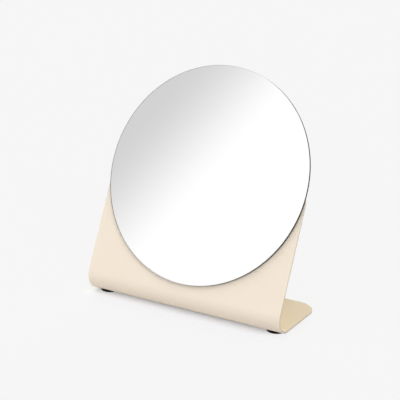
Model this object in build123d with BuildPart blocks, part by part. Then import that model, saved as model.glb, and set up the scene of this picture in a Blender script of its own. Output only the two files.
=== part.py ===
"""Round table mirror on a bent sheet-steel stand.

A frameless glass disc is taped to the front of one sheet of powder-coated steel. The sheet is
bent once: a short base lies on four rubber feet, a round bend forms the front edge, and the
back leans away from it, behind the disc. Nothing on the object moves.

Frame: millimetres, +Z up, the mirror faces -Y, X runs along the bend. The origin is on the table
under the middle of the whole object's box.
"""

import os
from math import cos, radians, sin, sqrt

from build123d import *

# Mirror disc
mirror_diameter = 200.0
glass_thickness = 3.0
glass_arris = 0.3  # 45 degree bevel on both rims
mirror_above_bend = 5.7  # lowest point of the disc above the bend, along the back

# Protective film on the back of the disc
film_thickness = 0.25
film_inset = 2.0

# Double-sided foam tape between film and sheet
tape_thickness = 0.7
tape_width = 20.0
tape_count = 4
tape_edge_gap = 8.0  # tape stays this far inside the film's rim and the top of the back
tape_fan_angle = 36.0  # the outer strips' low corners lie this far below the disc's centre

# Bent sheet
sheet_thickness = 1.6
bend_inner_radius = 14.0
lean_angle = 26.0  # of the back, from upright
base_run = 61.5  # flat base, from the end of the bend to the back edge
back_above_centre = 6.0  # how far the back carries on past the disc's centre
corner_radius = 18.0
edge_ease = 0.4  # rounding that the powder coat gives the cut edges

# Feet
foot_diameter = 18.0
foot_height = 1.3
foot_edge_gap = 3.0  # from a foot to the sheet's side, or to its rounded corner
foot_overhang = 6.4  # how far the front feet show in front of the flat base
foot_bevel = 0.3  # of a foot's lower rim

# The sheet is exactly as wide as the disc, which is measured up the back from the end of the bend
sheet_width = mirror_diameter
mirror_radius = mirror_diameter / 2
mirror_rise = mirror_above_bend + mirror_radius
back_run = mirror_rise + back_above_centre
bend_radius = bend_inner_radius + sheet_thickness
rise_y, rise_z = sin(radians(lean_angle)), cos(radians(lean_angle))

# The box reaches from the front of the bend to the disc's top back rim, or to the base's back
# edge where that lies further back, and the origin is under its middle.
disc_reach = (mirror_rise + mirror_radius - glass_arris) * rise_y
disc_reach -= (bend_radius + tape_thickness + film_thickness) * rise_z
bend_y = (bend_radius - max(disc_reach, base_run)) / 2
bend_z = foot_height + bend_radius

# Front face of the leaning back: the local origin is at the end of the bend, local Y runs up
# the back and local Z points out of it.
back_face = Plane(
    origin=(0, bend_y - bend_radius * rise_z, bend_z + bend_radius * rise_y),
    x_dir=(1, 0, 0),
    z_dir=(0, -rise_z, rise_y),
)
film_face = back_face.offset(tape_thickness)
glass_face = film_face.offset(film_thickness)

os.makedirs("parts", exist_ok=True)

# The stand: one sheet, bent through a right angle and the lean
with BuildPart() as stand:
    with BuildSketch(Plane.YZ):
        with BuildLine():
            base_line = Line((bend_y + base_run, foot_height), (bend_y, foot_height))
            bend_line = JernArc(base_line @ 1, base_line % 1, bend_radius, -(90 + lean_angle))
            PolarLine(bend_line @ 1, back_run, direction=bend_line % 1)
            offset(amount=sheet_thickness, side=Side.RIGHT)
        make_face()
    extrude(amount=sheet_width / 2, both=True)

    # The shortest straight edges run through the sheet, at its four free corners
    fillet(stand.edges().filter_by(GeomType.LINE).group_by(SortBy.LENGTH)[0], corner_radius)

    # Base, bend and back each have two broad faces; every other face is a cut edge of the sheet
    faces_by_area = stand.faces().sort_by(SortBy.AREA)
    broad_faces, cut_faces = faces_by_area[-6:], faces_by_area[:-6]
    fillet(broad_faces.edges() & cut_faces.edges(), edge_ease)

stand.part.label = "stand"
export_step(stand.part, "parts/stand.step")

# The mirror: a glass disc, silvered on its back
with BuildPart() as mirror_glass:
    with BuildSketch(glass_face):
        with Locations((0, mirror_rise)):
            Circle(mirror_radius)
    extrude(amount=glass_thickness)
    chamfer(mirror_glass.edges().filter_by(GeomType.CIRCLE), glass_arris)

mirror_glass.part.label = "mirror_glass"
export_step(mirror_glass.part, "parts/mirror_glass.step")

# Film that holds the glass together if it breaks
with BuildPart() as backing_film:
    with BuildSketch(film_face):
        with Locations((0, mirror_rise)):
            Circle(mirror_radius - film_inset)
    extrude(amount=film_thickness)

backing_film.part.label = "backing_film"
export_step(backing_film.part, "parts/backing_film.step")

# Foam tape: upright strips that end alike below the top of the back, and follow the disc's rim
# at their lower ends
hold_radius = mirror_radius - film_inset - tape_edge_gap
tape_span = 2 * hold_radius * cos(radians(tape_fan_angle))
tape_pitch = (tape_span - tape_width) / (tape_count - 1)
tape_top = back_run - tape_edge_gap

for number in range(tape_count):
    tape_x = (number - (tape_count - 1) / 2) * tape_pitch
    tape_low = mirror_rise - sqrt(hold_radius**2 - (abs(tape_x) + tape_width / 2) ** 2)
    with BuildPart() as mounting_tape:
        with BuildSketch(back_face):
            with Locations((tape_x, (tape_low + tape_top) / 2)):
                Rectangle(tape_width, tape_top - tape_low)
        extrude(amount=tape_thickness)

    mounting_tape.part.label = f"mounting_tape_{number + 1}"
    export_step(mounting_tape.part, f"parts/{mounting_tape.part.label}.step")

# Rubber feet: the front pair sits under the start of the bend, the back pair in the corners,
# an even gap inside the rounding
foot_radius = foot_diameter / 2
front_x = sheet_width / 2 - foot_edge_gap - foot_radius
front_y = bend_y + foot_radius - foot_overhang
corner_shift = (corner_radius - foot_edge_gap - foot_radius) * sin(radians(45))
back_x = sheet_width / 2 - corner_radius + corner_shift
back_y = bend_y + base_run - corner_radius + corner_shift
foot_places = {
    "foot_front_left": (-front_x, front_y),
    "foot_front_right": (front_x, front_y),
    "foot_back_left": (-back_x, back_y),
    "foot_back_right": (back_x, back_y),
}

for foot_name, foot_place in foot_places.items():
    with BuildPart() as foot:
        with BuildSketch():
            with Locations(foot_place):
                Circle(foot_radius)
        extrude(amount=foot_height)
        chamfer(foot.edges().group_by(Axis.Z)[0], foot_bevel)

    foot.part.label = foot_name
    export_step(foot.part, f"parts/{foot_name}.step")
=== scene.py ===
"""Looks of the round table mirror on its bent sheet stand.

Lengths are in metres, in the same frame as the CAD part: +Z up, the mirror faces -Y.
"""

from math import cos, pi, radians, sin

import bpy
from mathutils import Matrix, Vector


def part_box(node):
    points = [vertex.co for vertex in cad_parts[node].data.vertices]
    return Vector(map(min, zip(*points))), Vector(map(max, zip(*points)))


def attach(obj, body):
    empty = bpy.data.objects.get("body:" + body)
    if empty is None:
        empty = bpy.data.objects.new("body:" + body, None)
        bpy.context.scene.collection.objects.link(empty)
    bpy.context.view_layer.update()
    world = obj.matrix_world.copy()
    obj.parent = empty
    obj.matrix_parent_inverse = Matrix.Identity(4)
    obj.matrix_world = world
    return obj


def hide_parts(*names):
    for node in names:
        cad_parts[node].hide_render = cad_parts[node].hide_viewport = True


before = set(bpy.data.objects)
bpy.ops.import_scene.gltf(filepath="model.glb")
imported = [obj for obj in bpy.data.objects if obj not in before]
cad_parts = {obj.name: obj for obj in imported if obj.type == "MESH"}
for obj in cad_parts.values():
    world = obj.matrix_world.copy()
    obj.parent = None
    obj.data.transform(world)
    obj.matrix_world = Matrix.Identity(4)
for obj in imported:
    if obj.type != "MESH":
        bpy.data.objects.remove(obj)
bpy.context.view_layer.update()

MM = 0.001

# Camera, fitted to the photograph's edges
CAMERA_AZIMUTH = radians(31.27)  # to the right of straight ahead
CAMERA_ELEVATION = radians(18.94)
CAMERA_DISTANCE = 1.0982
CAMERA_TARGET = Vector((-0.00047, -0.0098, 0.09842))
CAMERA_LENS = 111.0  # millimetres, on a sensor 36 mm wide

# Studio
BACKGROUND = (0.9216, 0.9216, 0.9216)  # the photograph's plain pale grey
FLOOR_RADIUS = 8.0
FLOOR_SEGMENTS = 64
FLOOR_BOUNCE = (0.73, 0.72, 0.70)  # what the floor sends back up at the object
FLOOR_WEAR = 0.996  # the floor's darkest patches, as a share of its palest
SKY_LEVEL = 0.182
WHITE = (1.0, 1.0, 1.0)
WARM = (1.0, 0.97, 0.62)

# Soft lamps: azimuth from straight in front towards +X, elevation and spread in degrees, then
# strength and colour
LAMPS = {
    "key_lamp": (-60, 65, 50, 0.836, WHITE),
    "side_lamp": (45, 45, 50, 0.97, WHITE),
    "front_lamp": (0, 20, 50, 1.05, WHITE),
    "back_lamp": (190, 8, 20, 1.43, WARM),
    "left_back_lamp": (225, 20, 50, 1.10, WARM),
}
FLOOR_LIGHT = (0.96, 0.938, 0.875)  # how bright a white floor gets in this light

# The floor shows the object's shadow clearly only near the bend, which almost touches it: how
# much of the shadow shows, by the distance from a strip under the bend. The strip is set in from
# the stand's front and its two sides.
SHADOW_DEPTH = 9 * MM
SHADOW_SET_BACK = 15 * MM
SHADOW_SET_LEFT = 8 * MM
SHADOW_SET_RIGHT = 34 * MM
SHADOW_SHARES = [(0.0, 1.0), (2 * MM, 0.71), (15 * MM, 0.66), (27 * MM, 0.15), (46 * MM, 0.03)]

# What the mirror sees: a white studio that falls off to grey on one side. The limits are cosines
# of the angle from the direction in which it gets lighter.
LIGHTER_TOWARDS = Vector((0.7506, -0.6201, -0.2281))
GREY_BELOW = -0.0821
WHITE_ABOVE = 0.0033
REFLECTED_GREY = 0.698
REFLECTED_WHITE = 1.099

# Mirror disc, as in the CAD part
LEAN = radians(26.0)
GLASS_THICKNESS = 3.0 * MM
GLASS_ARRIS = 0.3 * MM
SILVER_DEPTH = 0.55 * MM  # of the reflecting plane behind the front, which shows the rim's inside
DISC_SEGMENTS = 256

# The ground edge as it shows through the front, by the share of the disc's height, with painted
# shade where the sheet stands behind it up to the middle and painted light at the top, where light
# from above comes in
INSIDE_PAINTED_SHADE_AND_LIGHT = [
    (0.25, (0.105, 0.115, 0.095)),
    (0.5, (0.54, 0.55, 0.54)),
    (0.92, (0.60, 0.61, 0.60)),
    (1.0, (0.72, 0.73, 0.72)),
]


def new_material(name):
    """A node material, with its tree and its Principled shader."""
    material = bpy.data.materials.new(name)
    material.use_nodes = True
    tree = material.node_tree
    return material, tree, tree.nodes["Principled BSDF"]


def set_socket(tree, socket, value):
    """Links a value that is an output, and sets any other."""
    if isinstance(value, bpy.types.NodeSocket):
        tree.links.new(value, socket)
    else:
        socket.default_value = value


def set_inputs(tree, node, **inputs):
    """Sets a node's inputs, by their names."""
    for name, value in inputs.items():
        set_socket(tree, node.inputs[name.replace("_", " ")], value)


def add_node(tree, kind, settings=None, **inputs):
    """A node with its settings and inputs, by their names."""
    node = tree.nodes.new(kind)
    for name, value in (settings or {}).items():
        setattr(node, name, value)
    set_inputs(tree, node, **inputs)
    return node


def vector_math(tree, operation, *operands):
    """A vector operation on these operands, in their order."""
    node = add_node(tree, "ShaderNodeVectorMath", {"operation": operation})
    for socket, operand in zip(node.inputs, operands):
        set_socket(tree, socket, operand)
    return node


def object_position(tree):
    """Where the shaded point is, in the object's own metres."""
    return add_node(tree, "ShaderNodeTexCoord").outputs["Object"]


def noise(tree, position, scale, detail=2.0):
    """Soft noise from 0 to 1, with about this many swings in a metre."""
    node = add_node(tree, "ShaderNodeTexNoise", Vector=position, Scale=scale, Detail=detail)
    return node.outputs["Fac"]


def ramp(tree, factor, stops):
    """A colour ramp through (position, colour) stops."""
    node = add_node(tree, "ShaderNodeValToRGB", Fac=factor)
    elements = node.color_ramp.elements
    while len(elements) < len(stops):
        elements.new(1.0)
    for element, (position, colour) in zip(elements, stops):
        element.position = position
        element.color = (*colour, 1.0)
    return node.outputs["Color"]


def between(tree, factor, low, high):
    """The factor, stretched from 0..1 to low..high."""
    node = add_node(tree, "ShaderNodeMapRange", Value=factor, To_Min=low, To_Max=high)
    return node.outputs["Result"]


def share_of(tree, value, low, high):
    """0 where the value is low and 1 where it is high."""
    node = add_node(tree, "ShaderNodeMapRange", Value=value, From_Min=low, From_Max=high)
    return node.outputs["Result"]


def bump(tree, height, depth, strength, **under):
    """A normal from a height of 0 to 1 that is depth metres deep, over another normal if given."""
    node = add_node(
        tree, "ShaderNodeBump", Height=height, Distance=depth, Strength=strength, **under
    )
    return node.outputs["Normal"]


def mix_shaders(tree, factor, first, second):
    """The first shader at factor 0 and the second at 1."""
    node = add_node(tree, "ShaderNodeMixShader", Fac=factor)
    tree.links.new(first.outputs[0], node.inputs[1])
    tree.links.new(second.outputs[0], node.inputs[2])
    return node


def any_ray(tree, *kinds):
    """1 for rays of one of these kinds, otherwise 0."""
    path = add_node(tree, "ShaderNodeLightPath")
    result = path.outputs[f"Is {kinds[0]} Ray"]
    for kind in kinds[1:]:
        larger = add_node(tree, "ShaderNodeMath", {"operation": "MAXIMUM"})
        tree.links.new(result, larger.inputs[0])
        tree.links.new(path.outputs[f"Is {kind} Ray"], larger.inputs[1])
        result = larger.outputs[0]
    return result


def powder_coat():
    """Cream satin powder coat: even colour, very fine orange peel."""
    material, tree, shader = new_material("powder_coat_cream")
    position = object_position(tree)
    peel = noise(tree, position, scale=1400.0, detail=3.0)
    swell = noise(tree, position, scale=260.0)
    cloud = noise(tree, position, scale=18.0)
    soft = bump(tree, swell, depth=0.02 * MM, strength=0.5)
    set_inputs(
        tree, shader,
        Base_Color=ramp(tree, cloud, [(0.3, (0.861, 0.760, 0.646)), (0.7, (0.877, 0.775, 0.661))]),
        Roughness=between(tree, peel, 0.46, 0.60),
        Normal=bump(tree, peel, depth=0.012 * MM, strength=0.6, Normal=soft),
        Specular_IOR_Level=0.35,
    )
    return material


def mirror_face():
    """Silvered glass, seen from the front."""
    material, tree, shader = new_material("silvered_glass")
    haze = noise(tree, object_position(tree), scale=30.0, detail=4.0)
    set_inputs(
        tree, shader,
        Base_Color=ramp(tree, haze, [(0.2, (0.928, 0.928, 0.928)), (0.8, (0.932, 0.932, 0.932))]),
        Roughness=between(tree, haze, 0.0, 0.012),
        Metallic=1.0,
    )
    return material


def rim_inside():
    """Ground edge of the glass, as it shows through the front, with painted shade and light by
    height.
    """
    material, tree, shader = new_material("ground_glass_inside")
    position = object_position(tree)
    patch = noise(tree, position, scale=120.0, detail=3.0)
    height = add_node(tree, "ShaderNodeSeparateXYZ", Vector=position).outputs["Z"]
    low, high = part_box("mirror_glass")
    set_inputs(
        tree, shader,
        # painted shade on the lower part of the disc and painted light at its top, by height
        Base_Color=ramp(tree, share_of(tree, height, low.z, high.z), INSIDE_PAINTED_SHADE_AND_LIGHT),
        Roughness=between(tree, patch, 0.5, 0.7),
        Specular_IOR_Level=0.2,
    )
    return material


def glass_edge():
    """Ground edge of the glass: dark grey-green and finely scored."""
    material, tree, shader = new_material("ground_glass_edge")
    position = object_position(tree)
    grain = noise(tree, position, scale=2500.0)
    patch = noise(tree, position, scale=120.0, detail=3.0)
    set_inputs(
        tree, shader,
        Base_Color=ramp(tree, patch, [(0.3, (0.024, 0.027, 0.021)), (0.7, (0.036, 0.039, 0.031))]),
        Roughness=between(tree, grain, 0.32, 0.50),
        Normal=bump(tree, grain, depth=0.01 * MM, strength=0.5),
        Specular_IOR_Level=0.2,
    )
    return material


def back_coat():
    """Dark mirror paint over the silver, bare at the rim outside the film."""
    material, tree, shader = new_material("mirror_back_coat")
    grain = noise(tree, object_position(tree), scale=600.0, detail=3.0)
    set_inputs(
        tree, shader,
        Base_Color=ramp(tree, grain, [(0.3, (0.022, 0.023, 0.022)), (0.7, (0.034, 0.035, 0.033))]),
        Roughness=between(tree, grain, 0.45, 0.60),
        Specular_IOR_Level=0.3,
    )
    return material


def backing_paint():
    """Grey mirror paint under the clear safety film, with faint roller marks."""
    material, tree, shader = new_material("backing_film_grey")
    position = object_position(tree)
    stretched = add_node(tree, "ShaderNodeMapping", Vector=position, Scale=(900.0, 40.0, 40.0))
    roller = noise(tree, stretched.outputs["Vector"], scale=1.0, detail=3.0)
    cloud = noise(tree, position, scale=35.0, detail=3.0)
    set_inputs(
        tree, shader,
        Base_Color=ramp(tree, cloud, [(0.3, (0.36, 0.385, 0.40)), (0.7, (0.41, 0.435, 0.45))]),
        Roughness=between(tree, roller, 0.30, 0.46),
        Normal=bump(tree, roller, depth=0.01 * MM, strength=0.4),
    )
    return material


def foam():
    """Pale closed-cell foam tape."""
    material, tree, shader = new_material("foam_tape")
    position = object_position(tree)
    cells = add_node(tree, "ShaderNodeTexVoronoi", Vector=position, Scale=3200.0).outputs["Distance"]
    set_inputs(
        tree, shader,
        Base_Color=ramp(tree, cells, [(0.0, (0.62, 0.62, 0.60)), (0.6, (0.80, 0.80, 0.78))]),
        Roughness=0.9,
        Normal=bump(tree, cells, depth=0.05 * MM, strength=0.8),
    )
    return material


def rubber():
    """Matt black rubber with a fine cast grain."""
    material, tree, shader = new_material("foot_rubber")
    grain = noise(tree, object_position(tree), scale=3000.0, detail=3.0)
    set_inputs(
        tree, shader,
        Base_Color=ramp(tree, grain, [(0.3, (0.003, 0.003, 0.003)), (0.7, (0.008, 0.008, 0.008))]),
        Roughness=between(tree, grain, 0.70, 0.90),
        Normal=bump(tree, grain, depth=0.03 * MM, strength=0.7),
        Specular_IOR_Level=0.15,
    )
    return material


def shadow_share(tree):
    """How much of its shadow the floor shows: 1 under the bend and next to nothing far from it."""
    low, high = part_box("stand")
    low.y += SHADOW_SET_BACK
    high.y = low.y + SHADOW_DEPTH
    low.x += SHADOW_SET_LEFT
    high.x -= SHADOW_SET_RIGHT
    middle = (low + high) / 2
    half = (high - low) / 2

    # Distance on the floor from the strip between these corners
    offset = vector_math(tree, "SUBTRACT", object_position(tree), (middle.x, middle.y, 0.0))
    size = vector_math(tree, "ABSOLUTE", offset.outputs["Vector"])
    outside = vector_math(tree, "SUBTRACT", size.outputs["Vector"], (half.x, half.y, 0.0))
    beyond = vector_math(tree, "MAXIMUM", outside.outputs["Vector"], (0.0, 0.0, 0.0))
    distance = vector_math(tree, "LENGTH", beyond.outputs["Vector"])

    farthest = SHADOW_SHARES[-1][0]
    reach = share_of(tree, distance.outputs["Value"], 0.0, farthest)
    return ramp(tree, reach, [(far / farthest, (share,) * 3) for far, share in SHADOW_SHARES])


def floor_surface():
    """Plain pale floor: seen, it is the background with the object's shadow near the object."""
    material = bpy.data.materials.new("studio_floor")
    material.use_nodes = True
    tree = material.node_tree
    tree.nodes.clear()
    grain = noise(tree, object_position(tree), scale=4.0)
    palest = tuple(seen / light for seen, light in zip(BACKGROUND, FLOOR_LIGHT))
    darkest = tuple(FLOOR_WEAR * channel for channel in palest)
    colour = ramp(tree, grain, [(0.3, darkest), (0.7, palest)])
    lit = add_node(tree, "ShaderNodeBsdfDiffuse", Color=colour)
    glow = add_node(tree, "ShaderNodeEmission", Color=(*BACKGROUND, 1.0), Strength=1.0)
    seen = mix_shaders(tree, shadow_share(tree), glow, lit)
    bounce = add_node(tree, "ShaderNodeBsdfDiffuse", Color=(*FLOOR_BOUNCE, 1.0))
    whole = mix_shaders(tree, any_ray(tree, "Camera", "Glossy", "Transmission"), bounce, seen)
    add_node(tree, "ShaderNodeOutputMaterial", Surface=whole.outputs[0])
    return material


def paint(node, material):
    """Gives a CAD node this material all over."""
    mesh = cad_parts[node].data
    mesh.materials.clear()
    mesh.materials.append(material)


def circle(radius, height, segments):
    """Points of a circle about the Z axis."""
    turns = [2 * pi * step / segments for step in range(segments)]
    return [(radius * cos(turn), radius * sin(turn), height) for turn in turns]


def lathe(name, profile, materials, place):
    """A closed solid of revolution about its Z axis.

    profile is a list of (radius, height, material number), from the centre of one end to the
    centre of the other; the number is that of the ring which ends at this point.
    """
    vertices, rings = [], []
    for radius, height, _ in profile:
        points = circle(radius, height, DISC_SEGMENTS) if radius else [(0.0, 0.0, height)]
        rings.append(range(len(vertices), len(vertices) + len(points)))
        vertices += points
    faces, numbers = [], []
    for (_, _, number), low, high in zip(profile[1:], rings, rings[1:]):
        for step in range(DISC_SEGMENTS):
            after = (step + 1) % DISC_SEGMENTS
            if len(low) == 1:
                faces.append((low[0], high[after], high[step]))
            elif len(high) == 1:
                faces.append((low[step], low[after], high[0]))
            else:
                faces.append((low[step], low[after], high[after], high[step]))
            numbers.append(number)
    mesh = bpy.data.meshes.new(name)
    mesh.from_pydata(vertices, [], faces)
    mesh.transform(place)
    for material in materials:
        mesh.materials.append(material)
    for polygon, number in zip(mesh.polygons, numbers):
        polygon.material_index = number
    mesh.update()
    piece = bpy.data.objects.new(name, mesh)
    bpy.context.scene.collection.objects.link(piece)
    return piece


def build_disc():
    """The glass disc: mirror face, ground edge with an arris on both rims, and its back."""
    low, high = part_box("mirror_glass")
    across = Vector((1.0, 0.0, 0.0))
    up = Vector((0.0, sin(LEAN), cos(LEAN)))
    out = Vector((0.0, -cos(LEAN), sin(LEAN)))
    place = Matrix((across, up, out)).transposed().to_4x4()
    place.translation = (low + high) / 2 - out * (GLASS_THICKNESS / 2)
    radius = (high.x - low.x) / 2
    inner = radius - GLASS_ARRIS
    silver = GLASS_THICKNESS - SILVER_DEPTH
    face, inside, edge, coat = range(4)
    profile = [
        (0.0, 0.0, coat),
        (inner, 0.0, coat),
        (radius, GLASS_ARRIS, edge),
        (radius, GLASS_THICKNESS - GLASS_ARRIS, edge),
        (inner, GLASS_THICKNESS, face),
        (inner, silver, inside),
        (0.0, silver, face),
    ]
    materials = [mirror_face(), rim_inside(), glass_edge(), back_coat()]
    disc = lathe("mirror_disc", profile, materials, place)
    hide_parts("mirror_glass")
    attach(disc, "root")


def build_floor():
    """A wide round floor, level with the feet."""
    mesh = bpy.data.meshes.new("studio_floor")
    ring = circle(FLOOR_RADIUS, 0.0, FLOOR_SEGMENTS)
    mesh.from_pydata(ring, [], [tuple(range(FLOOR_SEGMENTS))])
    mesh.materials.append(floor_surface())
    floor = bpy.data.objects.new("studio_floor", mesh)
    bpy.context.scene.collection.objects.link(floor)


def build_world():
    """Plain soft light, a pale background, and the grey-to-white studio that the mirror sees."""
    world = bpy.data.worlds.new("studio")
    bpy.context.scene.world = world
    world.use_nodes = True
    tree = world.node_tree
    tree.nodes.clear()
    direction = add_node(tree, "ShaderNodeTexCoord").outputs["Generated"]
    towards = vector_math(tree, "DOT_PRODUCT", direction, LIGHTER_TOWARDS)
    fall_off = add_node(
        tree, "ShaderNodeMapRange", {"interpolation_type": "SMOOTHSTEP"},
        Value=towards.outputs["Value"], From_Min=GREY_BELOW, From_Max=WHITE_ABOVE,
        To_Min=REFLECTED_GREY, To_Max=REFLECTED_WHITE,
    ).outputs["Result"]
    reflected = add_node(tree, "ShaderNodeBackground", Color=(*WHITE, 1.0), Strength=fall_off)
    light = add_node(tree, "ShaderNodeBackground", Color=(*WHITE, 1.0), Strength=SKY_LEVEL)
    seen = add_node(tree, "ShaderNodeBackground", Color=(*BACKGROUND, 1.0), Strength=1.0)
    lit = mix_shaders(tree, any_ray(tree, "Glossy", "Transmission"), light, reflected)
    whole = mix_shaders(tree, any_ray(tree, "Camera"), lit, seen)
    add_node(tree, "ShaderNodeOutputWorld", Surface=whole.outputs[0])


def direction_from(azimuth, elevation):
    """Unit vector towards a viewer or lamp; azimuth 0 is straight in front, at -Y."""
    return Vector((
        sin(azimuth) * cos(elevation),
        -cos(azimuth) * cos(elevation),
        sin(elevation),
    ))


def build_lamps():
    """Wide soft lamps, which the mirror doesn't show."""
    for name, (azimuth, elevation, spread, strength, colour) in LAMPS.items():
        towards = direction_from(radians(azimuth), radians(elevation))
        data = bpy.data.lights.new(name, "SUN")
        data.energy = strength
        data.angle = radians(spread)
        data.color = colour
        lamp = bpy.data.objects.new(name, data)
        lamp.rotation_mode = "QUATERNION"
        lamp.rotation_quaternion = towards.to_track_quat("Z", "Y")
        lamp.visible_glossy = False
        bpy.context.scene.collection.objects.link(lamp)


def build_camera():
    """The photograph's view."""
    back = direction_from(CAMERA_AZIMUTH, CAMERA_ELEVATION)
    data = bpy.data.cameras.new("camera")
    data.lens = CAMERA_LENS
    data.clip_end = 4 * FLOOR_RADIUS
    camera = bpy.data.objects.new("camera", data)
    camera.location = CAMERA_TARGET + back * CAMERA_DISTANCE
    camera.rotation_mode = "QUATERNION"
    camera.rotation_quaternion = back.to_track_quat("Z", "Y")
    bpy.context.scene.collection.objects.link(camera)
    bpy.context.scene.camera = camera


build_camera()
build_world()
build_lamps()
build_floor()
build_disc()

paint("stand", powder_coat())
paint("backing_film", backing_paint())
tape, foot = foam(), rubber()
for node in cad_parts:
    if node.startswith("mounting_tape"):
        paint(node, tape)
    if node.startswith("foot"):
        paint(node, foot)

bpy.context.scene.view_settings.view_transform = "Standard"
